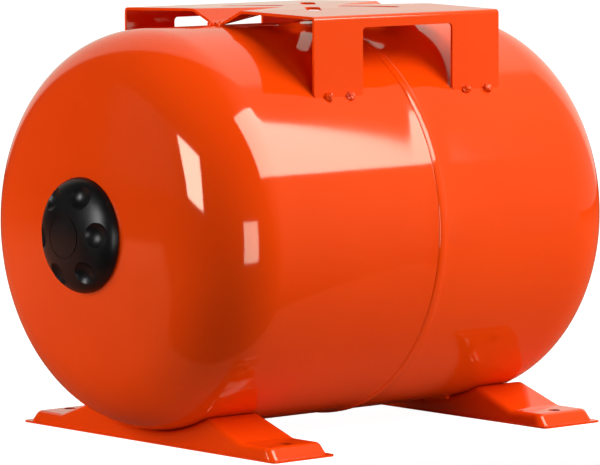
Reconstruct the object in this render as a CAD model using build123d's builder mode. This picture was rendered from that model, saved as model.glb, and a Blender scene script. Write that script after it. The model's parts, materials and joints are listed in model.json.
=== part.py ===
from build123d import *
import os
from math import atan2, cos, degrees, pi, radians, sin, sqrt, tan

# Horizontal bladder accumulator of the 24 litre class, in millimetres.
# X runs along the tank axis, with the gas valve at the -X end and the water inlet at +X.
# x = 0 is the girth weld, y = 0 the plane of symmetry and z = 0 the floor under the feet.

os.makedirs("parts", exist_ok=True)

# How far a cutting solid runs past what it cuts, and how closely an edge is picked by its place
overshoot = 1.0
pick_tolerance = 0.01

# Vessel: two drawn cups with torispherical heads, butt welded
tank_radius = 140.0
shell_wall = 1.2
crown_radius = 500.0
knuckle_radius = 56.0
front_straight = 144.6
rear_straight = 128.6
ground_clearance = 8.7
groove_depth = 0.7
bead_half_width = 3.4
bead_height = 1.3

# Pump bracket: one folded sheet
bracket_sheet = 2.0
bracket_length = 173.0
flange_half_span = 104.0
plate_gap = 8.9
plate_fall = 1.7
flat_half_width = 34.0
fall_blend = 150.0
bend_radius = 3.0
leg_width = 44.5
leg_tuck = 0.2
window_header = 10.2
window_corner = 3.0
leg_corner = 2.5

# Pressed dips that rest the plate's ends on the tank
dip_half_width = 26.0
dip_bottom_half_width = 5.0
dip_length = 56.0
dip_shoulder_round = 6.0
dip_bottom_round = 3.0
dip_tip_half_width = 3.0
dip_tip_bottom_half_width = 1.0
dip_tip_drop = 0.1
dip_band_margin = 4.0

# Slots for the pump's bolts
slot_length = 45.0
slot_width = 10.5
slot_centre_x = 26.0
slot_centre_y = 33.0

# Tack welds of the bracket
tack_radius = 2.9
tack_pitch = 20.0
tack_stand_off = 1.0
dip_tack_pitch = 9.0

# Feet: two identical pressed channels
foot_sheet = 1.5
foot_station = 126.5
foot_width = 54.8
foot_end_inset = 0.5
foot_end_lip = 11.0
foot_side_lip = 1.2
foot_end_wall_angle = 50.0
foot_draft = 7.0
pad_height = 9.2
pad_length = 27.5
ramp_angle = 20.0
ramp_blend = 14.0
peak_round = 8.0
foot_corner_round = 6.0
foot_edge_round = 5.0
lip_corner_round = 3.0
foot_hole_inset = 8.5
foot_hole_radius = 4.5

# Stitch welds inside the feet's saddles
stitch_radius = 2.2
stitch_inset = 1.6
stitch_angle = 10.0
stitch_position_angle = 9.0

# Gas valve on the front head
boss_radius = 13.0
boss_spigot_radius = 10.0
boss_height = 7.0
boss_spigot_length = 3.0
boss_floor = 1.2
boss_recess_radius = 8.6
boss_chamfer = 0.5
boss_weld_leg = 2.4
stem_shank_radius = 4.9
stem_shank_length = 8.0
stem_collar_radius = 7.0
stem_collar_thickness = 2.0
stem_tip_radius = 3.85
stem_tip_length = 8.0
gasket_thickness = 0.5
core_radius = 2.6
core_length = 9.0
core_recess = 1.0
core_throat_radius = 0.95
core_throat_length = 4.2
core_seal_thickness = 0.6
spring_chamber_radius = 1.9
pin_radius = 0.87
pin_head_radius = 1.6
pin_head_thickness = 0.6
pin_stand_out = 0.4
pin_seal_radius = 2.1
pin_seal_thickness = 0.8
pin_seal_clearance = 0.2
pin_button_radius = 1.4
pin_button_thickness = 0.5
spring_wire_radius = 0.16
spring_turns = 4.0
end_gap = 0.05

# Dust cap of the gas valve
dust_cap_radius = 5.1
dust_cap_wall = 1.15
dust_cap_length = 9.2
dust_cap_stand_off = 0.4
thread_clearance = 0.05

# Guard cap over the gas valve
cap_radius = 40.0
cap_height = 18.0
cap_wall = 2.0
cap_hub_wall = 2.2
cap_rim_gap = 0.4
cap_hub_gap = 0.6
dimple_count = 6
dimple_ring_radius = 30.0
dimple_radius = 9.2
dimple_depth = 4.6
dimple_start_angle = 185.0
cap_disc_radius = 15.0
cap_groove_width = 0.8
cap_groove_depth = 0.4

# Water end: neck ring, bladder, counter-flange and G1 stub
neck_bore_radius = 46.0
ring_radius = 72.5
ring_stand_out = 4.0
ring_weld_leg = 3.5
bolt_edge_margin = 8.5
bolt_count = 6
bladder_lip_gap = 2.5
bladder_lip_thickness = 2.5
bladder_wall = 2.0
bladder_neck_clearance = 1.0
bladder_radius = 96.0
bladder_length = 330.0
bladder_throat_depth = 10.0
bladder_shoulder_length = 110.0
bladder_fullness = 1.4
flange_thickness = 3.0
flange_edge_round = 1.0
flange_land_gap = 5.3
flange_dome_ramp = 12.0
flange_dome_rise = 5.0
stub_radius = 16.6
stub_bore_radius = 13.5
stub_reach = 32.4
stub_shoulder_radius = 20.0
stub_shoulder_thickness = 2.5
stub_chamfer = 1.5
stub_pilot_step = 0.6
stub_relief_depth = 0.7
stub_relief_gap = 0.4
stub_weld_leg = 2.4
stub_weld_cover = 1.8

# M8 flange bolts
bolt_radius = 4.0
bolt_hole_radius = 4.5
tapped_clearance = 0.1
bolt_grip = 12.0
bolt_flange_radius = 8.7
bolt_flange_thickness = 1.6
bolt_head_across_flats = 13.0
bolt_head_height = 6.4
bolt_head_round = 0.4


def head_depth(radius, crown, knuckle):
    """Depth of a torispherical head beyond its straight wall."""
    return crown - sqrt((crown - knuckle) ** 2 - (radius - knuckle) ** 2)


def crown_fall(radius):
    """How far the crown has dropped back from its apex at a radius from the tank axis."""
    return crown_radius - sqrt(crown_radius**2 - radius**2)


axis_height = ground_clearance + tank_radius
tank_axis = Axis((0, 0, axis_height), (1, 0, 0))
tank_plane = Plane(origin=(0, 0, axis_height), x_dir=(1, 0, 0), z_dir=(0, -1, 0))
depth_of_head = head_depth(tank_radius, crown_radius, knuckle_radius)
front_apex = -(front_straight + depth_of_head)
rear_apex = rear_straight + depth_of_head


def cup_outline(straight, side, inset=0.0):
    """Half section of one cup, above the axis: straight wall, knuckle and crown."""
    radius = tank_radius - inset
    crown = crown_radius - inset
    knuckle = knuckle_radius - inset
    depth = head_depth(radius, crown, knuckle)
    knuckle_centre = Vector(straight, radius - knuckle)
    crown_centre = Vector(straight + depth - crown, 0)
    crown_direction = (knuckle_centre - crown_centre).normalized()
    tangent = crown_centre + crown_direction * crown
    knuckle_middle = knuckle_centre + (crown_direction + Vector(0, 1)).normalized() * knuckle
    crown_middle = crown_centre + (crown_direction + Vector(1, 0)).normalized() * crown
    corners = [(0, 0), (0, radius), (straight, radius)]
    points = [Vector(*corner) for corner in corners]
    points += [knuckle_middle, tangent, crown_middle, Vector(straight + depth, 0)]
    start, rim, wall_end, knuckle_mid, crown_start, crown_mid, apex = [
        (side * point.X, point.Y) for point in points
    ]
    Polyline(start, rim, wall_end)
    ThreePointArc(wall_end, knuckle_mid, crown_start)
    ThreePointArc(crown_start, crown_mid, apex)
    Line(apex, start)


def turn(*points, mode=Mode.ADD):
    """Turn a closed half section, given as (x, distance from the tank axis)."""
    with BuildSketch(tank_plane) as section:
        with BuildLine():
            Polyline(*points, close=True)
        make_face()
    revolve(section.sketch, axis=tank_axis, mode=mode)


def ring_points(first, last, inner, outer):
    """Half section of a plain ring between two stations and two radii."""
    return [(first, inner), (last, inner), (last, outer), (first, outer)]


# The filled outside of the vessel: whatever is welded on is cut to fit it
with BuildPart() as vessel_form:
    with BuildSketch(tank_plane):
        with BuildLine():
            cup_outline(front_straight, -1)
        make_face()
        with BuildLine():
            cup_outline(rear_straight, 1)
        make_face()
    revolve(axis=tank_axis)

# Cups: drawn shells with the weld groove bevelled on their rims and a hole in the crown
with BuildPart() as front_shell:
    with BuildSketch(tank_plane):
        with BuildLine():
            cup_outline(front_straight, -1)
        make_face()
        with BuildLine():
            cup_outline(front_straight, -1, inset=shell_wall)
        make_face(mode=Mode.SUBTRACT)
    revolve(axis=tank_axis)
    boss_hole = ring_points(
        front_apex - overshoot, front_apex + boss_spigot_length, 0, boss_spigot_radius
    )
    turn(*boss_hole, mode=Mode.SUBTRACT)
    rim_edges = front_shell.edges().group_by(Axis.X)[-1]
    chamfer(rim_edges.sort_by(SortBy.LENGTH)[-1], length=groove_depth)
front_shell.part.label = "front_shell"
export_step(front_shell.part, "parts/front_shell.step")

with BuildPart() as rear_shell:
    with BuildSketch(tank_plane):
        with BuildLine():
            cup_outline(rear_straight, 1)
        make_face()
        with BuildLine():
            cup_outline(rear_straight, 1, inset=shell_wall)
        make_face(mode=Mode.SUBTRACT)
    revolve(axis=tank_axis)
    neck_hole = ring_points(rear_straight, rear_apex + overshoot, 0, neck_bore_radius)
    turn(*neck_hole, mode=Mode.SUBTRACT)
    rim_edges = rear_shell.edges().group_by(Axis.X)[0]
    chamfer(rim_edges.sort_by(SortBy.LENGTH)[-1], length=groove_depth)
rear_shell.part.label = "rear_shell"
export_step(rear_shell.part, "parts/rear_shell.step")

# Girth weld: fills the groove and stands up as a low crown
with BuildPart() as girth_weld:
    with BuildSketch(tank_plane):
        with BuildLine():
            ThreePointArc(
                (-bead_half_width, tank_radius),
                (0, tank_radius + bead_height),
                (bead_half_width, tank_radius),
            )
            Polyline(
                (bead_half_width, tank_radius),
                (groove_depth, tank_radius),
                (0, tank_radius - groove_depth),
                (-groove_depth, tank_radius),
                (-bead_half_width, tank_radius),
            )
        make_face()
    revolve(axis=tank_axis)
girth_weld.part.label = "girth_weld"
export_step(girth_weld.part, "parts/girth_weld.step")

# Pump bracket
tank_top = axis_height + tank_radius
plate_height = tank_top + plate_gap + bracket_sheet
plate_edge_height = plate_height - plate_fall
bracket_end = bracket_length / 2
leg_bottom = axis_height + sqrt(tank_radius**2 - flange_half_span**2) - leg_tuck
window_half_width = bracket_end - leg_width


def sheet_section(corners, rounds):
    """Section of the folded sheet: its upper line, rounded at the corners, and the sheet below it."""
    FilletPolyline(*corners, radius=rounds)
    offset(amount=bracket_sheet, side=Side.RIGHT)


def dip_section(station, half_width, bottom_half_width, drop):
    """Section across the plate's middle band at one station along the pressed dip."""
    half_band = dip_half_width + dip_band_margin
    low = plate_height - drop
    with BuildSketch(Plane.YZ.offset(station)) as section:
        with BuildLine():
            sheet_section(
                [
                    (-half_band, plate_height),
                    (-half_width, plate_height),
                    (-bottom_half_width, low),
                    (bottom_half_width, low),
                    (half_width, plate_height),
                    (half_band, plate_height),
                ],
                [dip_shoulder_round, dip_bottom_round, dip_bottom_round, dip_shoulder_round],
            )
        make_face()
    return section.sketch


dip_tip = bracket_end - dip_length
slot_angle = degrees(atan2(slot_centre_y, slot_centre_x))

with BuildPart() as pump_bracket:
    # Crowned plate and side flanges, folded from one sheet
    with BuildSketch(Plane.YZ.offset(-bracket_end)):
        with BuildLine():
            sheet_section(
                [
                    (-flange_half_span, leg_bottom),
                    (-flange_half_span, plate_edge_height),
                    (-flat_half_width, plate_height),
                    (flat_half_width, plate_height),
                    (flange_half_span, plate_edge_height),
                    (flange_half_span, leg_bottom),
                ],
                [bend_radius, fall_blend, fall_blend, bend_radius],
            )
        make_face()
    extrude(amount=bracket_length)
    # Window in each flange, which leaves a leg at either end
    window_bottom = leg_bottom - window_corner - overshoot
    window_height = plate_height - window_header - window_bottom
    with BuildSketch(Plane.XZ.offset(-flange_half_span - overshoot)):
        with Locations((0, window_bottom + window_height / 2)):
            RectangleRounded(2 * window_half_width, window_height, window_corner)
    extrude(amount=2 * (flange_half_span + overshoot), mode=Mode.SUBTRACT)
    leg_corners = pump_bracket.edges().filter_by(Axis.Y).group_by(Axis.Z)[0]
    fillet(leg_corners, radius=leg_corner)
    add(vessel_form.part, mode=Mode.SUBTRACT)
    # A dip pressed into the plate at each end: deepest at the edge, where it rests on the tank
    for end in (-1, 1):
        with Locations((end * (bracket_end + dip_tip) / 2, 0, plate_height - bracket_sheet)):
            Box(
                dip_length,
                2 * (dip_half_width + dip_band_margin),
                2 * (bracket_sheet + overshoot),
                mode=Mode.SUBTRACT,
            )
    for end in (-1, 1):
        deep = dip_section(end * bracket_end, dip_half_width, dip_bottom_half_width, plate_gap)
        shallow = dip_section(
            end * dip_tip, dip_tip_half_width, dip_tip_bottom_half_width, dip_tip_drop
        )
        loft([deep, shallow], ruled=True)
    # Slots that point at the plate's centre
    with BuildSketch(Plane.XY.offset(plate_height + overshoot)):
        for x_side in (-1, 1):
            for y_side in (-1, 1):
                with Locations((x_side * slot_centre_x, y_side * slot_centre_y)):
                    SlotOverall(slot_length, slot_width, rotation=x_side * y_side * slot_angle)
    extrude(amount=-2 * (bracket_sheet + overshoot), mode=Mode.SUBTRACT)
pump_bracket.part.label = "pump_bracket"
export_step(pump_bracket.part, "parts/pump_bracket.step")

# Tack welds: two on the outside of each leg's foot and two at the bottom of each dip
leg_centre = bracket_end - leg_width / 2
leg_tacks = [
    (end * leg_centre + shift * tack_pitch / 2, side * (flange_half_span + tack_stand_off), leg_bottom)
    for end in (-1, 1)
    for side in (-1, 1)
    for shift in (-1, 1)
]
dip_tacks = [
    (end * (bracket_end + tack_stand_off), side * dip_tack_pitch / 2, tank_top)
    for end in (-1, 1)
    for side in (-1, 1)
]
with BuildPart() as bracket_welds:
    with Locations(*leg_tacks, *dip_tacks):
        Sphere(tack_radius)
    add(vessel_form.part, mode=Mode.SUBTRACT)
    add(pump_bracket.part, mode=Mode.SUBTRACT)
bracket_welds.part.label = "bracket_welds"
export_step(bracket_welds.part, "parts/bracket_welds.step")

# Feet: as long as the tank is wide, less a small inset at either end
foot_length = 2 * (tank_radius - foot_end_inset)
pad_outer_edge = foot_length / 2 - foot_end_lip
pad_inner_edge = pad_outer_edge - pad_length
foot_hole_y = pad_outer_edge - foot_hole_inset
foot_below = foot_sheet + 2 * overshoot
end_wall_slope = tan(radians(foot_end_wall_angle))
ramp_slope = tan(radians(ramp_angle))
ramp_origin = axis_height - pad_height - ramp_slope * pad_inner_edge
ramp_quadratic = 1 + ramp_slope**2
ramp_root = (ramp_slope * ramp_origin) ** 2 - ramp_quadratic * (ramp_origin**2 - tank_radius**2)
peak_y = (sqrt(ramp_root) - ramp_slope * ramp_origin) / ramp_quadratic
peak_z = pad_height + ramp_slope * (pad_inner_edge - peak_y)
end_wall_y = pad_outer_edge + (pad_height + foot_below) / end_wall_slope


def foot_pressing(station, inset):
    """Filled outer form of a foot's pressing, or its hollow when the sheet is the inset."""
    side_shift = inset / cos(radians(foot_draft))
    half_base = foot_width / 2 - foot_side_lip - side_shift
    top = 2 * pad_height + peak_z
    lean = tan(radians(foot_draft))
    with BuildPart() as form:
        # Side elevation: end wall, bolt pad, ramp, rounded peak and the saddle under the tank
        with BuildSketch(Plane.YZ.offset(station - foot_width / 2)) as elevation:
            with BuildLine():
                Polyline(
                    (-peak_y, peak_z),
                    (-pad_inner_edge, pad_height),
                    (-pad_outer_edge, pad_height),
                    (-end_wall_y, -foot_below),
                    (end_wall_y, -foot_below),
                    (pad_outer_edge, pad_height),
                    (pad_inner_edge, pad_height),
                    (peak_y, peak_z),
                )
                ThreePointArc((peak_y, peak_z), (0, ground_clearance), (-peak_y, peak_z))
            make_face()
            corners = elevation.vertices()
            ramp_feet = [v for v in corners if abs(abs(v.X) - pad_inner_edge) < pick_tolerance]
            fillet(ramp_feet, radius=ramp_blend)
            corners = elevation.vertices()
            peaks = [v for v in corners if abs(abs(v.X) - peak_y) < pick_tolerance]
            fillet(peaks, radius=peak_round)
            if inset:
                offset(amount=-inset, kind=Kind.INTERSECTION, mode=Mode.REPLACE)
        extrude(amount=foot_width)
        # Cross-section: side walls with draft
        with BuildSketch(Plane.XZ.offset(-foot_length / 2)):
            with BuildLine():
                Polyline(
                    (station - half_base - foot_below * lean, -foot_below),
                    (station + half_base + foot_below * lean, -foot_below),
                    (station + half_base - top * lean, top),
                    (station - half_base + top * lean, top),
                    close=True,
                )
            make_face()
        extrude(amount=foot_length, mode=Mode.INTERSECT)
        upright = [
            edge
            for edge in form.edges()
            if abs(edge.center().Y) > pad_outer_edge - inset
            and -foot_below + inset < edge.center().Z < pad_height - inset - overshoot
            and abs(edge.center().X - station) > foot_width / 4
        ]
        fillet(upright, radius=foot_corner_round - inset)
        top_loop = [
            edge
            for edge in form.edges()
            if edge.center().Z > ground_clearance - inset - overshoot
            and (
                abs(edge.center().X - station) > foot_width / 4
                or abs(edge.center().Y) > pad_outer_edge - inset - overshoot
            )
        ]
        fillet(top_loop, radius=foot_edge_round - inset)
    return form.part


for foot_name, station in (("front_foot", -foot_station), ("rear_foot", foot_station)):
    outer_form = foot_pressing(station, 0)
    hollow_form = foot_pressing(station, foot_sheet)
    with BuildPart() as foot:
        with BuildSketch(Plane.XY):
            with Locations((station, 0)):
                RectangleRounded(foot_width, foot_length, lip_corner_round)
        extrude(amount=foot_sheet)
        add(outer_form)
        add(hollow_form, mode=Mode.SUBTRACT)
        split(bisect_by=Plane.XY, keep=Keep.TOP)
        with Locations((station, -foot_hole_y, pad_height), (station, foot_hole_y, pad_height)):
            Hole(foot_hole_radius)
    foot.part.label = foot_name
    export_step(foot.part, f"parts/{foot_name}.step")
    if station < 0:
        front_foot = foot.part
    else:
        rear_foot = foot.part

# Stitch welds along the inboard edges of the saddles, out of sight under the tank
stitch_x = foot_station - foot_width / 2 + foot_side_lip + stitch_inset
with BuildPart() as foot_welds:
    for end in (-1, 1):
        for side in (-1, 1):
            start = radians(side * stitch_position_angle - stitch_angle / 2)
            weld_plane = Plane(
                origin=(0, 0, axis_height),
                x_dir=(1, 0, 0),
                z_dir=(0, cos(start), sin(start)),
            )
            with BuildSketch(weld_plane):
                with Locations((end * stitch_x, tank_radius)):
                    Circle(stitch_radius)
            revolve(axis=tank_axis, revolution_arc=stitch_angle)
    add(vessel_form.part, mode=Mode.SUBTRACT)
    add(front_foot, mode=Mode.SUBTRACT)
    add(rear_foot, mode=Mode.SUBTRACT)
foot_welds.part.label = "foot_welds"
export_step(foot_welds.part, "parts/foot_welds.step")

# Gas valve. Heights are measured outwards from the apex of the front head, towards -X.


def out(height):
    """Station at a height above the apex of the front head."""
    return front_apex - height


stem_bore_radius = core_radius + thread_clearance
collar_base = boss_floor + gasket_thickness
tip_base = collar_base + stem_collar_thickness
tip_top = tip_base + stem_tip_length
core_top = tip_top - core_recess
core_bottom = core_top - core_length

with BuildPart() as valve_boss:
    turn(
        (out(-boss_spigot_length), stem_shank_radius + thread_clearance),
        (out(boss_floor), stem_shank_radius + thread_clearance),
        (out(boss_floor), boss_recess_radius),
        (out(boss_height), boss_recess_radius),
        (out(boss_height), boss_radius),
        (out(0), boss_radius),
        (out(0), boss_spigot_radius),
        (out(-boss_spigot_length), boss_spigot_radius),
    )
    outer_rim = valve_boss.edges().group_by(Axis.X)[0].sort_by(SortBy.LENGTH)[-1]
    chamfer(outer_rim, length=boss_chamfer)
valve_boss.part.label = "valve_boss"
export_step(valve_boss.part, "parts/valve_boss.step")

with BuildPart() as boss_weld:
    turn(
        (out(boss_weld_leg), boss_radius),
        (out(-shell_wall / 2), boss_radius),
        (out(-shell_wall / 2), boss_radius + boss_weld_leg),
        (out(0), boss_radius + boss_weld_leg),
    )
    add(vessel_form.part, mode=Mode.SUBTRACT)
boss_weld.part.label = "boss_weld"
export_step(boss_weld.part, "parts/boss_weld.step")

with BuildPart() as valve_gasket:
    turn(*ring_points(out(collar_base), out(boss_floor), stem_shank_radius, stem_collar_radius))
valve_gasket.part.label = "valve_gasket"
export_step(valve_gasket.part, "parts/valve_gasket.step")

# Valve stem: shank in the boss, hexagonal collar and the bored tip that holds the core
with BuildPart() as valve_stem:
    turn(*ring_points(out(tip_base), out(-stem_shank_length), 0, stem_shank_radius))
    with BuildSketch(Plane(origin=(out(collar_base), 0, axis_height), z_dir=(-1, 0, 0))):
        RegularPolygon(stem_collar_radius, 6)
    extrude(amount=stem_collar_thickness)
    turn(*ring_points(out(tip_top), out(collar_base), 0, stem_tip_radius))
    turn(*ring_points(out(tip_top), out(core_bottom), 0, stem_bore_radius), mode=Mode.SUBTRACT)
    air_way = ring_points(
        out(tip_top), out(-stem_shank_length), 0, pin_seal_radius + pin_seal_clearance
    )
    turn(*air_way, mode=Mode.SUBTRACT)
valve_stem.part.label = "valve_stem"
export_step(valve_stem.part, "parts/valve_stem.step")

# Core: a barrel with a throat that guides the pin and a chamber for its spring
throat_top = core_bottom + core_throat_length
with BuildPart() as valve_core:
    turn(
        (out(core_bottom + core_seal_thickness), core_throat_radius),
        (out(throat_top), core_throat_radius),
        (out(throat_top), spring_chamber_radius),
        (out(core_top), spring_chamber_radius),
        (out(core_top), core_radius),
        (out(core_bottom + core_seal_thickness), core_radius),
    )
valve_core.part.label = "valve_core"
export_step(valve_core.part, "parts/valve_core.step")

with BuildPart() as core_seal:
    turn(
        *ring_points(
            out(core_bottom + core_seal_thickness), out(core_bottom), core_throat_radius, core_radius
        )
    )
core_seal.part.label = "core_seal"
export_step(core_seal.part, "parts/core_seal.step")

# Pin: a button at the top that the spring pushes out, and a seal below that closes the throat
pin_top = core_top + pin_stand_out
button_base = pin_top - pin_button_thickness
seal_top = core_bottom - end_gap
pin_bottom = seal_top - pin_seal_thickness - pin_head_thickness
with BuildPart() as valve_pin:
    turn(*ring_points(out(pin_top), out(pin_bottom), 0, pin_radius))
    turn(*ring_points(out(pin_top), out(button_base), 0, pin_button_radius))
    turn(*ring_points(out(pin_bottom + pin_head_thickness), out(pin_bottom), 0, pin_head_radius))
valve_pin.part.label = "valve_pin"
export_step(valve_pin.part, "parts/valve_pin.step")

with BuildPart() as pin_seal:
    turn(*ring_points(out(seal_top), out(seal_top - pin_seal_thickness), pin_radius, pin_seal_radius))
pin_seal.part.label = "pin_seal"
export_step(pin_seal.part, "parts/pin_seal.step")

# Return spring: a helix between the floor of the chamber and the pin's button
spring_mean_radius = (pin_radius + spring_chamber_radius) / 2
spring_start = throat_top + spring_wire_radius + end_gap
spring_height = button_base - end_gap - spring_wire_radius - spring_start
spring_plane = Plane(origin=(out(spring_start), 0, axis_height), x_dir=(0, 1, 0), z_dir=(-1, 0, 0))
spring_path = spring_plane.location * Helix(spring_height / spring_turns, spring_height, spring_mean_radius)
with BuildPart() as valve_spring:
    with BuildSketch(Plane(origin=spring_path @ 0, z_dir=spring_path % 0)):
        Circle(spring_wire_radius)
    sweep(path=spring_path, is_frenet=True)
valve_spring.part.label = "valve_spring"
export_step(valve_spring.part, "parts/valve_spring.step")

# Dust cap on the stem's tip
dust_cap_base = tip_base + dust_cap_stand_off
dust_cap_top = dust_cap_base + dust_cap_length
with BuildPart() as dust_cap:
    turn(*ring_points(out(dust_cap_top), out(dust_cap_base), 0, dust_cap_radius))
    turn(
        *ring_points(
            out(dust_cap_top - dust_cap_wall),
            out(dust_cap_base),
            0,
            stem_tip_radius + thread_clearance,
        ),
        mode=Mode.SUBTRACT,
    )
    top_edge = dust_cap.edges().group_by(Axis.X)[0]
    fillet(top_edge, radius=dust_cap_wall / 2)
dust_cap.part.label = "dust_cap"
export_step(dust_cap.part, "parts/dust_cap.step")

# Guard cap: a moulded dome with finger dimples, screwed over the boss by its hub
cap_base = front_apex + crown_fall(cap_radius) - cap_rim_gap


def dome(inset, mode=Mode.ADD):
    """Half ellipsoid on the cap's base plane; its quarter ellipse is drawn as one cubic curve."""
    height = cap_height - inset
    radius = cap_radius - inset
    handle = 4 / 3 * (sqrt(2) - 1)
    nose = (cap_base - height, 0)
    rim = (cap_base, radius)
    with BuildSketch(tank_plane) as section:
        with BuildLine():
            Bezier(rim, (cap_base - height * handle, radius), (nose[0], radius * handle), nose)
            Polyline(nose, (cap_base, 0), rim)
        make_face()
    revolve(section.sketch, axis=tank_axis, mode=mode)


# Each dimple is a shallow ball mark, square to the dome where it lies
dimple_height = cap_height * sqrt(1 - (dimple_ring_radius / cap_radius) ** 2)
dimple_slope = cap_height**2 * dimple_ring_radius / (cap_radius**2 * dimple_height)
dimple_ball = (dimple_radius**2 + dimple_depth**2) / (2 * dimple_depth)
ball_lift = dimple_ball - dimple_depth
normal_out = 1 / sqrt(1 + dimple_slope**2)
ball_station = cap_base - dimple_height - ball_lift * normal_out
ball_ring = dimple_ring_radius + ball_lift * dimple_slope * normal_out
dimple_angles = [radians(dimple_start_angle + 360 / dimple_count * n) for n in range(dimple_count)]
ball_centres = [
    (ball_station, ball_ring * cos(angle), axis_height - ball_ring * sin(angle))
    for angle in dimple_angles
]
hub_radius = boss_radius + thread_clearance
hub_base = boss_weld_leg + cap_hub_gap
hub_top = -crown_fall(cap_radius) + cap_rim_gap + cap_height - cap_wall

with BuildPart() as dome_form:
    dome(0)

# The wall follows each dimple inwards as a round boss
with BuildPart() as dimple_backs:
    with Locations(*ball_centres):
        Sphere(dimple_ball + cap_wall)
    add(dome_form.part, mode=Mode.INTERSECT)

with BuildPart() as guard_cap:
    dome(0)
    dome(cap_wall, mode=Mode.SUBTRACT)
    add(dimple_backs.part)
    turn(*ring_points(out(hub_top), out(hub_base), hub_radius, hub_radius + cap_hub_wall))
    with Locations(*ball_centres):
        Sphere(dimple_ball, mode=Mode.SUBTRACT)
    # A fine groove round the nose
    groove_height = cap_height * sqrt(1 - (cap_disc_radius / cap_radius) ** 2)
    turn(
        *ring_points(
            cap_base - cap_height,
            cap_base - groove_height + cap_groove_depth,
            cap_disc_radius - cap_groove_width / 2,
            cap_disc_radius + cap_groove_width / 2,
        ),
        mode=Mode.SUBTRACT,
    )
guard_cap.part.label = "guard_cap"
export_step(guard_cap.part, "parts/guard_cap.step")

# Water end. The neck ring is cut to the crown and carries the bolt circle.
ring_face = rear_apex + ring_stand_out
flange_back = ring_face + bladder_lip_thickness
flange_front = flange_back + flange_thickness
stub_end = rear_apex + stub_reach
bolt_circle_radius = ring_radius - bolt_edge_margin
bladder_lip_radius = bolt_circle_radius - bolt_hole_radius - bladder_lip_gap
flange_land_radius = bolt_circle_radius - bolt_flange_radius - flange_land_gap
flange_dome_radius = flange_land_radius - flange_dome_ramp
bolt_spots = [
    (
        bolt_circle_radius * cos(2 * pi * (n + 0.5) / bolt_count),
        bolt_circle_radius * sin(2 * pi * (n + 0.5) / bolt_count),
    )
    for n in range(bolt_count)
]


def bolt_plane(station):
    """Plane square to the tank axis, facing the water end."""
    return Plane(origin=(station, 0, axis_height), x_dir=(0, 1, 0), z_dir=(1, 0, 0))


with BuildPart() as neck_ring:
    ring_back = rear_apex - crown_fall(ring_radius) - shell_wall / 2
    turn(*ring_points(ring_back, ring_face, neck_bore_radius, ring_radius))
    add(vessel_form.part, mode=Mode.SUBTRACT)
    with BuildSketch(bolt_plane(ring_face)):
        with Locations(*bolt_spots):
            Circle(bolt_radius + tapped_clearance)
    extrude(amount=ring_back - ring_face, mode=Mode.SUBTRACT)
neck_ring.part.label = "neck_ring"
export_step(neck_ring.part, "parts/neck_ring.step")

with BuildPart() as neck_weld:
    weld_back = rear_apex - crown_fall(ring_radius + ring_weld_leg) - shell_wall / 2
    weld_top = rear_apex - crown_fall(ring_radius) + ring_weld_leg
    turn(
        (weld_back, ring_radius),
        (weld_top, ring_radius),
        (weld_back + shell_wall / 2, ring_radius + ring_weld_leg),
        (weld_back, ring_radius + ring_weld_leg),
    )
    add(vessel_form.part, mode=Mode.SUBTRACT)
neck_weld.part.label = "neck_weld"
export_step(neck_weld.part, "parts/neck_weld.step")

# Bladder: a closed rubber bag whose lip is clamped under the counter-flange
bladder_neck = neck_bore_radius - bladder_neck_clearance
bag_end = ring_face - bladder_length
bag_throat = rear_apex - bladder_throat_depth


def bag_outline(inset, mouth):
    """Half outline of the bag from its mouth to its closed end."""
    end = bag_end + inset
    Polyline((mouth, 0), (mouth, bladder_neck - inset), (bag_throat, bladder_neck - inset))
    Spline(
        (bag_throat, bladder_neck - inset),
        (bag_throat - bladder_shoulder_length, bladder_radius - inset),
        (end, 0),
        tangents=[(-1, 0), (-1, 0), (0, -1)],
        tangent_scalars=[1, bladder_fullness, 1],
    )
    Line((end, 0), (mouth, 0))


with BuildPart() as bladder:
    with BuildSketch(tank_plane):
        with BuildLine():
            bag_outline(0, flange_back)
        make_face()
        with BuildLine():
            bag_outline(bladder_wall, flange_back + overshoot)
        make_face(mode=Mode.SUBTRACT)
    revolve(axis=tank_axis)
    turn(*ring_points(ring_face, flange_back, bladder_neck - bladder_wall, bladder_lip_radius))
bladder.part.label = "bladder"
export_step(bladder.part, "parts/bladder.step")

# Counter-flange: pressed plate, domed towards the stub
stub_pilot_radius = stub_radius + stub_pilot_step
with BuildPart() as counter_flange:
    turn(
        (flange_back, flange_land_radius),
        (flange_back + flange_dome_rise, flange_dome_radius),
        (flange_back + flange_dome_rise, stub_pilot_radius),
        (flange_front + flange_dome_rise, stub_pilot_radius),
        (flange_front + flange_dome_rise, flange_dome_radius),
        (flange_front, flange_land_radius),
        (flange_front, ring_radius),
        (flange_back, ring_radius),
    )
    with BuildSketch(bolt_plane(flange_back)):
        with Locations(*bolt_spots):
            Circle(bolt_hole_radius)
    extrude(amount=flange_thickness, mode=Mode.SUBTRACT)
    rim = counter_flange.edges().filter_by(
        lambda edge: edge.geom_type == GeomType.CIRCLE
        and abs(edge.radius - ring_radius) < pick_tolerance
    )
    fillet(rim.sort_by(Axis.X)[-1], radius=flange_edge_round)
counter_flange.part.label = "counter_flange"
export_step(counter_flange.part, "parts/counter_flange.step")

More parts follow.
